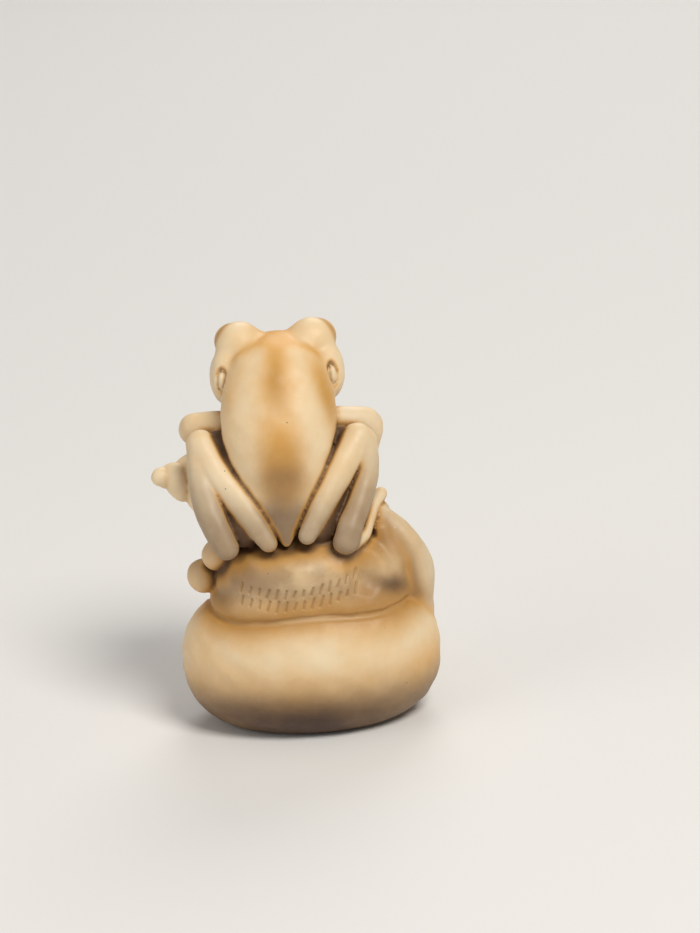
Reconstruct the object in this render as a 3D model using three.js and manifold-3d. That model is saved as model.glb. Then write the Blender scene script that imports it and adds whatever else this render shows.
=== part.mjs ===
// A small cast figurine: a frog sits upright on a domed mound and leans on a spiral shell,
// and the mound stands on a smooth cushion-shaped base. All of it is one casting.
// Millimetres, +Z up. The frog looks along +Y. The origin is the middle of the flat underside.

import * as THREE from "three";
import { mergeVertices } from "three/addons/utils/BufferGeometryUtils.js";
import Module from "manifold-3d";

const wasm = await Module();
wasm.setup();

// Base, a smooth cushion with a flat underside
const BASE_WIDTH = 16.5;
const BASE_DEPTH = 11.7;
const BASE_HEIGHT = 9.6;
const BASE_WIDEST = 4.5;
const BASE_UNDERSIDE_SHARE = 1.17;

// Mound on the base, with its top measured from the underside
const MOUND_WIDTH = 11.8;
const MOUND_DEPTH = 9.1;
const MOUND_TOP = 12.6;
const MOUND_FORWARD = 0.5;
const MOUND_ASIDE = 0.1;

// Frog, from its seat on the mound to the top of its eyes
const FROG_HEIGHT = 12.6;
const FROG_ASIDE = -1.07;
const FROG_SINK = 0.2;

// Spiral shell lying at the frog's left hand side, seen from behind
const SHELL_LENGTH = 7.9;
const SHELL_RADIUS = 2.9;
const SHELL_SPIRE_SLOPE = 0.56;
const SHELL_GROWTH_PER_TURN = 2.35;
const SHELL_APEX_BEYOND_MOUND = 3.6;
const SHELL_APEX_FORWARD = 2.5;
const SHELL_APEX_RISE = 3.15;

// Root-like ridge that stands up at the right, and two round knobs at the left
const RIDGE_THICKNESS = 2.14;
const KNOB_DIAMETER = 2.1;

const FIGURINE_COLOUR = 0xe6cda9;

// One hundredth of the frog's height. The frog's points and radii are given in it.
const PART = FROG_HEIGHT / 100;
const SEAT = new THREE.Vector3(FROG_ASIDE, 0, MOUND_TOP - FROG_SINK);
const SIDES = [-1, 1];

// Facets: how finely the round forms are divided
const FINE = 6;
const MEDIUM = 5;
const COARSE = 2;

// Moves every point of a geometry with the given function.
function warp(geometry, move) {
  const position = geometry.attributes.position;
  const point = new THREE.Vector3();
  for (let i = 0; i < position.count; i += 1) {
    move(point.fromBufferAttribute(position, i));
    position.setXYZ(i, point.x, point.y, point.z);
  }
  return geometry;
}

// Turns a closed geometry into a solid. Triangles that close up to a line at a pole are left out.
function solid(geometry) {
  geometry.deleteAttribute("normal");
  geometry.deleteAttribute("uv");
  const merged = mergeVertices(geometry, 1e-5);
  const corners = merged.index.array;
  const kept = [];
  for (let i = 0; i < corners.length; i += 3) {
    const [a, b, c] = corners.slice(i, i + 3);
    if (a !== b && b !== c && c !== a) kept.push(a, b, c);
  }
  const vertProperties = new Float32Array(merged.attributes.position.array);
  return new wasm.Manifold(new wasm.Mesh({ numProp: 3, vertProperties, triVerts: new Uint32Array(kept) }));
}

function joined(solids) {
  return solids.reduce((whole, next) => whole.add(next));
}

// Pulls a point of the unit sphere onto a rounder or squarer form. A power of 2 leaves the sphere.
function fuller(point, power) {
  const sum = Math.abs(point.x) ** power + Math.abs(point.y) ** power + Math.abs(point.z) ** power;
  return point.divideScalar(sum ** (1 / power));
}

// Raises a soft swelling on a form, towards a direction. Width is in radians.
function swell(point, towards, width, rise) {
  const angle = point.angleTo(towards);
  return point.multiplyScalar(1 + rise * Math.exp(-((angle / width) ** 2)));
}

function frogPoint(x, y, z) {
  return new THREE.Vector3(x, y, z).multiplyScalar(PART).add(SEAT);
}

// An egg-shaped form, in millimetres.
function egg(centre, radii, detail) {
  return solid(warp(new THREE.IcosahedronGeometry(1, detail), (p) => p.multiply(radii).add(centre)));
}

// An egg-shaped form of the frog, in hundredths of its height.
function frogEgg([x, y, z], radii, detail = COARSE) {
  return egg(frogPoint(x, y, z), new THREE.Vector3(...radii).multiplyScalar(PART), detail);
}

// A rounded, tapering rod along a smooth path. A row holds a point and the radius there.
function rod(rows, sides, steps) {
  const path = new THREE.CatmullRomCurve3(rows.map((row) => row.point), false, "centripetal");
  const frames = path.computeFrenetFrames(steps, false);
  const radiusAt = (u) => {
    const place = path.getUtoTmapping(u) * (rows.length - 1);
    const index = Math.min(Math.floor(place), rows.length - 2);
    return THREE.MathUtils.lerp(rows[index].radius, rows[index + 1].radius, place - index);
  };
  const capsule = new THREE.CapsuleGeometry(1, 1, 2, sides, steps);
  return warp(capsule, (p) => {
    const u = THREE.MathUtils.clamp(p.y + 0.5, 0, 1);
    const radius = radiusAt(u);
    const across = frames.normals[Math.round(u * steps)].clone().multiplyScalar(p.x * radius);
    const other = frames.binormals[Math.round(u * steps)].clone().multiplyScalar(-p.z * radius);
    const beyond = frames.tangents[Math.round(u * steps)].clone().multiplyScalar((p.y + 0.5 - u) * radius);
    p.copy(path.getPointAt(u)).add(across).add(other).add(beyond);
  });
}

// A limb of the frog. A row is [x, y, z, radius] in hundredths of the frog's height.
function limb(rows, sides = 9, steps = 8) {
  const points = rows.map(([x, y, z, radius]) => ({ point: frogPoint(x, y, z), radius: radius * PART }));
  return solid(rod(points, sides, steps));
}

// The cushion is rounder above its widest ring than below it, and is cut flat underneath.
function base() {
  const hump = new THREE.Vector3(0.55, -0.45, 0.5).normalize();
  const humpWidth = 0.36;
  const humpRise = 0.035;
  const cushion = warp(new THREE.IcosahedronGeometry(1, FINE), (p) => {
    const above = p.z > 0;
    const power = above ? 2.15 : 2.7;
    const reach = above ? BASE_HEIGHT - BASE_WIDEST : BASE_WIDEST * BASE_UNDERSIDE_SHARE;
    const round = (Math.hypot(p.x, p.y) ** power + Math.abs(p.z) ** power) ** (1 / power);
    swell(p.divideScalar(round), hump, humpWidth, humpRise);
    p.set((p.x * BASE_WIDTH) / 2, (p.y * BASE_DEPTH) / 2, BASE_WIDEST + p.z * reach);
  });
  const below = new THREE.BoxGeometry(2 * BASE_WIDTH, 2 * BASE_DEPTH, BASE_HEIGHT);
  below.translate(0, 0, -BASE_HEIGHT / 2);
  return solid(cushion).subtract(solid(below));
}

// The dome swells towards the back, and a round foot under the shell carries it.
function mound() {
  const middle = new THREE.Vector3(MOUND_ASIDE, MOUND_FORWARD, BASE_HEIGHT * 0.92);
  const bulge = new THREE.Vector3(-0.2, -0.95, 0.25).normalize();
  const bulgeWidth = 0.42;
  const bulgeRise = 0.07;
  const squareness = 2.8;
  const dome = warp(new THREE.IcosahedronGeometry(1, FINE - 1), (p) => {
    swell(fuller(p, squareness), bulge, bulgeWidth, bulgeRise);
    p.set((p.x * MOUND_WIDTH) / 2, (p.y * MOUND_DEPTH) / 2, p.z * (MOUND_TOP - middle.z)).add(middle);
  });
  const underShell = new THREE.Vector3(-0.28 * MOUND_WIDTH, 0.38 * MOUND_DEPTH, BASE_HEIGHT + 0.9);
  return joined([solid(dome), egg(underShell, new THREE.Vector3(2.5, 2.4, 2.2), COARSE)]);
}

function knobs() {
  const side = MOUND_ASIDE - MOUND_WIDTH / 2;
  const size = new THREE.Vector3(KNOB_DIAMETER / 2, KNOB_DIAMETER / 2, KNOB_DIAMETER / 2);
  const upper = new THREE.Vector3(side + 0.3, -1, MOUND_TOP - 1.2);
  const lower = new THREE.Vector3(side - 0.7, 0.25, BASE_HEIGHT + 0.15);
  return joined([egg(upper, size, COARSE), egg(lower, size, COARSE)]);
}

// The ridge rises from the base's right shoulder and bends in over the mound.
// A row is its distance from the mound's side, its y, its distance from the mound's top and its thickness.
function ridge() {
  const side = MOUND_ASIDE + MOUND_WIDTH / 2;
  const rows = [
    [-2.1, 3.3, -0.6, 0.45],
    [-1.2, 1.9, 0.3, 0.5],
    [-0.95, 0.5, 0.2, 0.62],
    [-0.1, 0, -0.6, 0.77],
    [0.6, -0.2, -1.8, 0.92],
    [1.05, -0.2, -3.1, 1],
    [1.05, -0.1, -4.4, 0.95],
    [1.1, 0, -5.6, 0.77],
  ];
  const points = rows.map(([x, y, z, thick]) => ({
    point: new THREE.Vector3(side + x, y, MOUND_TOP + z),
    radius: (thick * RIDGE_THICKNESS) / 2,
  }));
  return solid(rod(points, 9, 13));
}

// The shell's spire widens evenly to its shoulder and is round beyond it. Its lobes follow a spiral
// that widens by the same factor each turn.
function shell() {
  const axis = new THREE.Vector3(0.93, 0.28, -0.24).normalize();
  const beyond = MOUND_WIDTH / 2 - MOUND_ASIDE + SHELL_APEX_BEYOND_MOUND;
  const apex = new THREE.Vector3(-beyond, SHELL_APEX_FORWARD, MOUND_TOP + SHELL_APEX_RISE);
  const turn = new THREE.Quaternion().setFromUnitVectors(new THREE.Vector3(0, -1, 0), axis);
  const shoulder = SHELL_RADIUS / SHELL_SPIRE_SLOPE;
  const bluntness = 0.25;
  const firstTurn = 0.82;
  const lobeDepth = 0.2;
  const whorls = warp(new THREE.SphereGeometry(1, 20, 20), (p) => {
    const along = (SHELL_LENGTH * (1 - p.y)) / 2;
    const around = Math.atan2(p.z, p.x) / (2 * Math.PI);
    const turns = Math.log((along + bluntness) / firstTurn) / Math.log(SHELL_GROWTH_PER_TURN) + around;
    const lobe = 1.02 - lobeDepth + lobeDepth * Math.abs(Math.sin(Math.PI * turns)) ** 0.7;
    const spire = SHELL_SPIRE_SLOPE * (along + bluntness) * Math.min(1, Math.sqrt(along / 0.4));
    const past = (along - shoulder) / (SHELL_LENGTH - shoulder);
    const dome = SHELL_RADIUS * Math.sqrt(Math.max(1 - past ** 2, 0));
    const radius = lobe * (along < shoulder ? Math.min(spire, SHELL_RADIUS) : dome);
    const share = radius / Math.max(Math.hypot(p.x, p.z), 1e-6);
    p.set(p.x * share, -along, p.z * share).applyQuaternion(turn).add(apex);
  });
  return solid(whorls);
}

// The trunk tapers to the tail and is flattened from front to back.
function trunk() {
  const lean = THREE.MathUtils.degToRad(62);
  const along = new THREE.Vector3(0, Math.cos(lean), Math.sin(lean));
  const backward = new THREE.Vector3(0, -Math.sin(lean), Math.cos(lean));
  const tail = frogPoint(0, -23, -0.5);
  const rows = [[2, 2.4], [12.5, 8], [30, 16.5], [47, 24], [62, 28.6], [74, 28.4]];
  const spine = rows.map(([distance, radius]) => ({
    point: along.clone().multiplyScalar(distance * PART).add(tail),
    radius: radius * PART,
  }));
  const form = warp(rod(spine, 18, 10), (p) => {
    const depth = p.clone().sub(tail).dot(backward);
    p.addScaledVector(backward, -0.22 * depth);
  });
  return solid(form);
}

// A point of the head for a direction from its middle: broad, and lower and narrower at the snout.
function headPoint(p) {
  const forward = Math.max(p.y, 0) ** 2;
  p.x *= 26.5 * (1 - 0.2 * forward);
  p.z *= p.z > 0 ? 21 * (1 - 0.4 * forward) : 17 * (1 - 0.15 * forward);
  p.y *= 26;
  p.applyAxisAngle(new THREE.Vector3(1, 0, 0), THREE.MathUtils.degToRad(8));
  return p.multiplyScalar(PART).add(frogPoint(0, 32, 74));
}

function mouthGroove() {
  const points = [];
  for (let degrees = -105; degrees <= 105; degrees += 15) {
    const angle = THREE.MathUtils.degToRad(degrees);
    const point = headPoint(new THREE.Vector3(Math.sin(angle), Math.cos(angle), -0.28).normalize());
    points.push({ point, radius: 1.1 * PART });
  }
  return solid(rod(points, 4, 18));
}

function head() {
  const skull = solid(warp(new THREE.IcosahedronGeometry(1, MEDIUM), headPoint));
  const cheeks = SIDES.map((side) => frogEgg([side * 26, 30, 73.5], [8.2, 15, 14]));
  const eyes = SIDES.map((side) => frogEgg([side * 18, 35, 89], [12, 11.5, 11], COARSE + 1));
  const drums = SIDES.map((side) => frogEgg([side * 27.4, 20, 75.5], [2.2, 4, 3.4], 1));
  const nostrils = SIDES.map((side) => {
    const point = headPoint(new THREE.Vector3(side * 0.24, 0.86, 0.46).normalize());
    return egg(point, new THREE.Vector3(1.3, 1.3, 1.3).multiplyScalar(PART), 0);
  });
  return joined([skull, ...cheeks, ...eyes, ...drums]).subtract(joined([mouthGroove(), ...nostrils]));
}

// Each hind leg is folded, with its knee at the frog's shoulder and its heel beside the tail.
function hindLegs() {
  const thighs = [
    [[-40.4, 6, 46.5, 7], [-33.3, -3, 34, 7.3], [-24, -11, 23, 7.2], [-17, -18, 14, 6.2], [-9, -24, 2.5, 4.3]],
    [[38, 6, 44.5, 8], [30.5, -2, 35, 8], [24, -9, 25.5, 7.4], [18, -16, 16.5, 6.4], [10.5, -24, 5, 4.6]],
  ];
  const shins = [
    [[-41, 6, 45, 6.8], [-42, -4, 31, 6.9], [-40, -14, 18.5, 7], [-36, -20, 10, 6.6], [-30.6, -24, 1, 6.2]],
    [[41, 7, 42, 7.3], [41.5, 0, 27, 6.4], [37, -10, 15.5, 6.3], [32.5, -19, 7.5, 6.5], [29.4, -23, 0, 6.5]],
  ];
  return [...thighs, ...shins].map((rows) => limb(rows));
}

// Solid casting between the limbs, set back from them.
function webs() {
  return [
    limb([[-32, 11, 43, 8], [-24, -2, 23, 10], [-17, -13, 6, 9]], 8, 4),
    limb([[31, 11, 41, 8], [24, -2, 23, 9.5], [17, -13, 6, 9]], 8, 4),
    limb([[0, 20, 40, 22], [-4, 4, 18, 16], [-2, 2, 2, 14]], 12, 4),
  ];
}

// The elbows stand out level. The left hand lies on the shell, and the right one on the mound.
function arms() {
  const upperLeft = [[-22, 21, 50, 7.4], [-37.8, 25, 50, 7], [-44.6, 28, 48.2, 7]];
  const lowerLeft = [[-43.5, 34, 42, 6], [-37, 39, 36, 4.6]];
  const upperRight = [[22, 21, 50, 7.4], [36.2, 25, 48, 7], [44.3, 28, 44.3, 7.5]];
  const lowerRight = [[42, 27, 30, 5.8], [39, 22, 12, 5], [38, 20, 0, 4.8]];
  return [limb([...upperLeft, ...lowerLeft]), limb([...upperRight, ...lowerRight])];
}

// Fingers and toes start at the hand or foot and end in a round pad.
function digits(from, tips, radius) {
  return tips.map((tip) => {
    const between = (share) => from.map((start, i) => start + (tip[i] - start) * share);
    const knuckle = between(0.5);
    knuckle[2] += radius / 2;
    return limb([
      [...from, radius * 1.2],
      [...knuckle, radius * 0.85],
      [...between(0.92), radius * 0.85],
      [...tip, radius * 1.2],
    ], 6, 4);
  });
}

// The right foot's long toe rises along the heel and lies on the ridge.
function handsAndFeet() {
  const heelOfToe = [[32.4, -20, -2, 4.5], [38.6, -12, -0.8, 3.2], [42.2, -3, 5, 2.8]];
  const endOfToe = [[45.6, 6, 9.7, 2.8], [48.4, 12, 12.6, 3.4]];
  const leftFingers = [[-42, 44, 29], [-35.5, 46, 32], [-29, 46.5, 34], [-24, 41.5, 37]];
  const rightFingers = [[45, 20, -4], [43, 27, -5], [37.5, 29, -4], [32, 27, -1]];
  const leftToes = [[-37, -8, -6], [-31, 2, -3], [-24, 5, 0]];
  const rightToes = [[35, 2, -1], [28, 6, 0]];
  return [
    ...digits([-37, 39, 35], leftFingers, 2.2),
    ...digits([38, 20, -1], rightFingers, 2.4),
    ...digits([-30, -20, -1], leftToes, 2.6),
    ...digits([31, -20, -1], rightToes, 2.6),
    limb([...heelOfToe, ...endOfToe], 7, 6),
  ];
}

function figurine() {
  const frog = [trunk(), head(), ...hindLegs(), ...webs(), ...arms(), ...handsAndFeet()];
  return joined([base(), mound(), knobs(), ridge(), shell(), ...frog]);
}

function meshOf(name, manifold, colour) {
  const { vertProperties, triVerts } = manifold.getMesh();
  const geometry = new THREE.BufferGeometry();
  geometry.setAttribute("position", new THREE.BufferAttribute(vertProperties, 3));
  geometry.setIndex(new THREE.BufferAttribute(triVerts, 1));
  geometry.computeVertexNormals();
  const material = new THREE.MeshStandardMaterial({ color: colour, roughness: 0.5, metalness: 0 });
  const mesh = new THREE.Mesh(geometry, material);
  mesh.name = name;
  return mesh;
}

const model = new THREE.Group();
model.add(meshOf("frog_figurine", figurine(), FIGURINE_COLOUR));

export default model;
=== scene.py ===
"""A small cast resin frog on its mound and base, ivory with brown stain, in a plain studio."""

import math

import bmesh
import bpy
import numpy as np
from mathutils import Matrix, Vector


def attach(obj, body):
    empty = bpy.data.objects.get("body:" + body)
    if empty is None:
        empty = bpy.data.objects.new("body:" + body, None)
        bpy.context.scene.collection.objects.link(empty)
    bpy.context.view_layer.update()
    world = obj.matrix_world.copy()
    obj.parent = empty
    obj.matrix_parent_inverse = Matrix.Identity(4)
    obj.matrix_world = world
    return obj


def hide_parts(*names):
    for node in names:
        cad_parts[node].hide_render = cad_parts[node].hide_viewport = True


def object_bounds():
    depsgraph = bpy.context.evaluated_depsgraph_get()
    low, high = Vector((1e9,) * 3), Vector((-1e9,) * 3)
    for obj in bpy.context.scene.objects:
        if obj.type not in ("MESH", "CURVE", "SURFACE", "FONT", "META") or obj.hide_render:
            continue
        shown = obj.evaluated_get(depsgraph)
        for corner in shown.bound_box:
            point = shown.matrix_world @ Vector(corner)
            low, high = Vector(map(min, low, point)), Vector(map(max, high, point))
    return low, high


bl_info = {
    "name": "Cast frog figurine",
    "version": (1, 0, 0),
    "blender": (4, 5, 0),
    "location": "View3D > Sidebar > Figurine",
    "description": "Builds a small cast frog figurine with a stained and painted resin finish",
    "category": "Add Mesh",
}

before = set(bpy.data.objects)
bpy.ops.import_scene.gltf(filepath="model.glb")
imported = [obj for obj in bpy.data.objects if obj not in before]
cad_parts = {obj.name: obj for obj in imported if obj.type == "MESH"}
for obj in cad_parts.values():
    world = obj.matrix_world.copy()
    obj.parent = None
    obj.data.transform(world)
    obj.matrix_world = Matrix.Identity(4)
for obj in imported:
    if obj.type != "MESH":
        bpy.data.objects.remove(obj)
CAD_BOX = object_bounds()
MM = 0.001
HEIGHT = CAD_BOX[1][2] / MM

# Lengths are in millimetres unless a name or comment says otherwise.
# The frog's own points are hundredths of its height, from its seat.
TRUNK_LEAN = math.radians(62)
UP_THE_BACK = np.array([0.0, math.cos(TRUNK_LEAN), math.sin(TRUNK_LEAN)])
OUT_OF_THE_BACK = np.array([0.0, -math.sin(TRUNK_LEAN), math.cos(TRUNK_LEAN)])
TAIL = np.array([0.0, -23.0, -0.5])
TRUNK_FLATNESS = 0.78
HEAD_MIDDLE = np.array([0.0, 32.0, 74.0])
HEAD_TILT = math.radians(8)
HEAD_DEPTH = 26
SIDES = (-1, 1)

# Default fillet where two forms meet, and how far from its box a form's distance is worked out in full.
FILLET = 0.13
NEAR = 1.6

# The groove at the foot of the mound, which ends at the ridge, and the mouth and lumps of a carved form.
CREASE_RADIUS = 0.06
CREASE_FILLET = 0.2
CREASE_END = 0.4
MOUTH_DEPTH = 0.11
SLOW_LUMPS = 0.035
QUICK_LUMPS = 0.012

# How the surface is drawn from the distances: the grid's margin, how far it starts below the
# underside, its extra cells, and the area that is drawn more finely for the strokes.
MARGIN = 0.6
CELLS_BELOW_UNDERSIDE = 3.37
EXTRA_CELLS = 8
STROKE_AREA_X = (-4.9, 4.2)
STROKE_AREA_Z = (8.1, 11.2)
STROKE_AREA_FRONT = -2.6
STROKE_CUTS = 2

# The curve that the lower row of strokes follows, seen from the back.
ROW_PLANE = -7.0
ROW_POINTS = {"Row start": (-4.1, 9.2), "Row middle": (-0.8, 8.35), "Row end": (3.1, 9.55)}

# Light name: place, size, power in watts and colour. Lengths of the lights and the floor are in metres.
LIGHTS = {
    "key": ((0.15, -0.20, 0.34), 0.18, 1.2, (1.0, 0.97, 0.92)),
    "fill": ((-0.30, -0.16, 0.16), 0.30, 0.28, (1.0, 0.95, 0.92)),
    "back": ((0.05, 0.30, 0.26), 0.22, 0.45, (1.0, 0.98, 0.96)),
}
LIT_POINT = (0.0, 0.0, 0.012)
FLOOR_RADIUS = 2.0

# Soft patches of stain and paint, of painted shade, painted reflection and a painted highlight, each a
# strength, a middle (x, z) and a half width and half height.
PATCHES = {
    "mound brown shade": [
        (1.0, 4.9, 9.2, 1.6, 0.8), (1.0, 3.7, 11.8, 1.5, 1.0), (0.8, -4.3, 11.0, 1.5, 1.1),
        (0.6, -5.0, 9.2, 0.9, 0.8),
    ],
    "mound orange": [(0.7, 4.2, 11.6, 1.6, 1.3)],
    "mound grey shade": [(0.4, -4.6, 10.4, 2.0, 1.5)],
    "base side reflections": [(0.35, -6.8, 6.6, 1.8, 1.8), (0.3, 7.4, 4.4, 1.5, 2.2)],
    "right shadow": [(1.0, 5.6, 9.15, 1.9, 0.65)],
    "left shadows": [(1.0, -4.3, 11.2, 1.3, 1.0), (0.9, -6.0, 9.0, 1.2, 0.6)],
    "foot corners": [(1.0, -5.2, 9.5, 1.0, 1.2), (0.6, 5.0, 9.6, 0.9, 0.8)],
    "crease highlight": [(1.0, 0.2, 8.4, 3.2, 2.0)],
}

# The stripe on the back: distance up the back from the tail, half width there and strength there.
STRIPE_RISE = [6, 14, 22, 30, 46, 58, 64, 70, 79, 88, 100, 106]
STRIPE_WIDTH = [4, 7, 9.5, 11.5, 13, 12.5, 11, 10.5, 10.5, 7.5, 6, 6]
STRIPE_DEPTH = [0, 0.3, 0.8, 1, 1, 0.8, 0.68, 0.8, 1, 0.95, 0.9, 0.9]

# Paint layers from the resin outwards, of which all but the orange also carry painted shade: mask and paint,
# scale and wander of the broken edge, strength.
PAINT_LAYERS = [
    ("orange", 1100.0, 0.35, 0.92),
    ("brown", 900.0, 0.35, 0.68),
    ("smoke_and_shade", 700.0, 0.4, 0.82),
    ("umber", 600.0, 0.4, 0.95),
]

FLOAT = "NodeSocketFloat"
COLOUR = "NodeSocketColor"
VECTOR = "NodeSocketVector"


# Sizes and colours that a user would change

def length(name, description, millimetres):
    default = millimetres * MM
    return bpy.props.FloatProperty(
        name=name, description=description, default=default, min=0.0, subtype="DISTANCE", unit="LENGTH"
    )


def angle(name, description, degrees):
    default = math.radians(degrees)
    return bpy.props.FloatProperty(name=name, description=description, default=default, subtype="ANGLE")


def colour(name, description, value):
    return bpy.props.FloatVectorProperty(
        name=name, description=description, default=value, size=3, min=0.0, max=1.0, subtype="COLOR"
    )


def share(name, description, value, high=1.0):
    return bpy.props.FloatProperty(name=name, description=description, default=value, min=0.0, max=high)


class FigurineForm(bpy.types.PropertyGroup):
    base_width: length("Base width", "Width of the cushion-shaped base", 16.5)
    base_depth: length("Base depth", "Depth of the base from front to back", 11.7)
    base_height: length("Base height", "Height of the base's top", 9.6)
    base_widest: length("Base widest", "Height at which the base is widest", 4.5)
    mound_width: length("Mound width", "Width of the mound", 11.8)
    mound_depth: length("Mound depth", "Depth of the mound", 9.1)
    mound_top: length("Mound top", "Height of the mound's top above the underside", HEIGHT * 0.504)
    frog_height: length("Frog height", "From the frog's seat to the top of its eyes", HEIGHT * 0.504)
    frog_aside: length("Frog aside", "How far the frog sits to the left of the middle", 1.07)
    frog_sink: length("Frog sink", "How far the seat lies below the mound's top", 0.2)
    shell_length: length("Shell length", "Length of the spiral shell", 7.9)
    shell_radius: length("Shell radius", "Radius of the shell at its shoulder", 2.9)
    ridge_thickness: length("Ridge thickness", "Thickness of the ridge at the right", 2.14)
    knob_diameter: length("Knob diameter", "Diameter of the two knobs at the left", 2.1)
    cell: length("Cell", "Spacing of the points that the surface is drawn from", 0.155)


class FigurineStrokes(bpy.types.PropertyGroup):
    count: bpy.props.IntProperty(name="Count", description="Strokes in one row", default=14, min=1)
    tall: length("Stroke height", "Height of one stroke", 0.6)
    wide: length("Stroke width", "Width of one stroke", 0.28)
    deep: length("Stroke depth", "Depth of one stroke", 0.1)
    row_gap: length("Row gap", "Distance between the two rows", 0.78)


class FigurineFinish(bpy.types.PropertyGroup):
    ivory: colour("Ivory", "Bare resin", (0.82, 0.62, 0.365))
    # Pale ivory also paints the highlight along the mound's foot and the light on the shell.
    pale: colour("Pale ivory", "Rubbed and bleached resin", (0.86, 0.71, 0.48))
    sand: colour("Sand", "Duller resin on the mound", (0.50, 0.35, 0.195))
    orange: colour("Orange paint", "Soft orange patches and the edges of the stain", (0.72, 0.37, 0.07))
    # Brown also paints the shade in the mound's hollows and under the frog.
    brown: colour("Brown paint", "Deeper brown in the patches and the stain", (0.36, 0.18, 0.045))
    # Umber also darkens the base's bottom, partly stain and partly painted shade, and paints the shade in the
    # mound's darkest patches.
    umber: colour("Umber stain", "Stain at the bottom of the grooves and hollows", (0.06, 0.028, 0.016))
    # The smoke colour is mostly painted shade, on the limbs, inside the ridge, underneath and on the mound;
    # it also darkens the lower ends of the back and the base.
    smoke_and_shade: colour("Smoke", "Thin grey-brown stain", (0.25, 0.155, 0.085))
    stain: share("Stain", "Strength of the stain in the recesses", 1.0, 2.0)
    roughness: share("Roughness", "Roughness of the bare resin", 0.48)


class FigurineStudio(bpy.types.PropertyGroup):
    camera_distance: length("Camera distance", "From the camera to the point it looks at", 243.0)
    picture_height: length("Picture height", "Height that the picture covers at the figurine", 58.8)
    elevation: angle("Elevation", "Angle that the camera looks down", 18)
    roll: angle("Roll", "Angle that the camera is rolled", 3.5)
    floor_colour: colour("Floor", "Colour of the floor", (0.80, 0.79, 0.77))


# Distances to simple forms

def smooth_min(a, b, blend):
    """The smaller of two distances, with a fillet of about the given size where they meet."""
    mix = np.clip(0.5 + 0.5 * (b - a) / blend, 0, 1)
    return b + (a - b) * mix - blend * mix * (1 - mix)


def smooth_max(a, b, blend):
    return -smooth_min(-a, -b, blend)


def fade(value, low, high):
    """Goes smoothly from 0 at low to 1 at high."""
    t = np.clip((value - low) / (high - low), 0, 1)
    return t * t * (3 - 2 * t)


def bell(value, width, power=2):
    """1 where the value is 0, falling off smoothly over about the width."""
    return np.exp(-((value / width) ** power))


def size_of(vectors):
    return np.sqrt((vectors * vectors).sum(-1))


def direction(*vector):
    return np.array(vector) / math.hypot(*vector)


def swelling(cosine, height, width):
    """1 plus a round bump about a direction, from the cosine of the angle to it."""
    return 1 + height * bell(np.arccos(np.clip(cosine, -1, 1)), width)


def ellipsoid(points, centre, radii):
    q = points - centre
    k0 = size_of(q / radii)
    k1 = size_of(q / (radii * radii)) + 1e-9
    return k0 * (k0 - 1) / k1


def smooth_rows(rows, steps):
    """Catmull-Rom through rows, whose last column may be a radius."""
    rows = np.asarray(rows, float)
    ends = np.vstack([2 * rows[0] - rows[1], rows, 2 * rows[-1] - rows[-2]])
    made = []
    for a, b, c, d in zip(ends[:-3], ends[1:-2], ends[2:-1], ends[3:]):
        square = 2 * a - 5 * b + 4 * c - d
        cube = 3 * b - a - 3 * c + d
        for t in np.linspace(0, 1, steps, endpoint=False):
            made.append(0.5 * (2 * b + (c - a) * t + square * t**2 + cube * t**3))
    made.append(ends[-2])
    return np.array(made)


def tapered_rod(points, rows):
    """Distance to a round rod along the rows' points with the rows' radii."""
    best = np.full(len(points), np.inf)
    for a, b in zip(rows[:-1], rows[1:]):
        along = b[:3] - a[:3]
        to_point = points - a[:3]
        t = np.clip((to_point @ along) / (along @ along), 0, 1)
        away = size_of(to_point - t[:, None] * along) - (a[3] + (b[3] - a[3]) * t)
        best = np.minimum(best, away)
    return best


class Form:
    """One closed form: its distance function, the box that holds it and its fillet."""

    def __init__(self, name, distance, low, high, blend=FILLET):
        self.name = name
        self.distance = distance
        self.low = np.asarray(low, float)
        self.high = np.asarray(high, float)
        self.blend = blend

    def at(self, points):
        """The distance near the form, and a safe smaller one far from it."""
        gap = size_of(np.maximum(np.maximum(self.low - points, points - self.high), 0.0))
        close = gap < NEAR
        result = gap + 0.0
        if close.any():
            result[close] = self.distance(points[close])
        return result


def nearest(forms, points):
    """Distance to the nearest of some forms."""
    return np.min([form.at(points) for form in forms], 0)


def named(forms, *names):
    return [form for form in forms if form.name in names]


def egg_form(name, centre, radii, blend=FILLET):
    centre = np.asarray(centre, float)
    radii = np.asarray(radii, float)
    return Form(name, lambda p: ellipsoid(p, centre, radii), centre - radii, centre + radii, blend)


def rod_form(name, rows, blend=FILLET, steps=4):
    fine = smooth_rows(rows, steps)
    radius = fine[:, 3:]
    low = (fine[:, :3] - radius).min(0)
    high = (fine[:, :3] + radius).max(0)
    return Form(name, lambda p: tapered_rod(p, fine), low, high, blend)


# The figurine's forms

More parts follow.
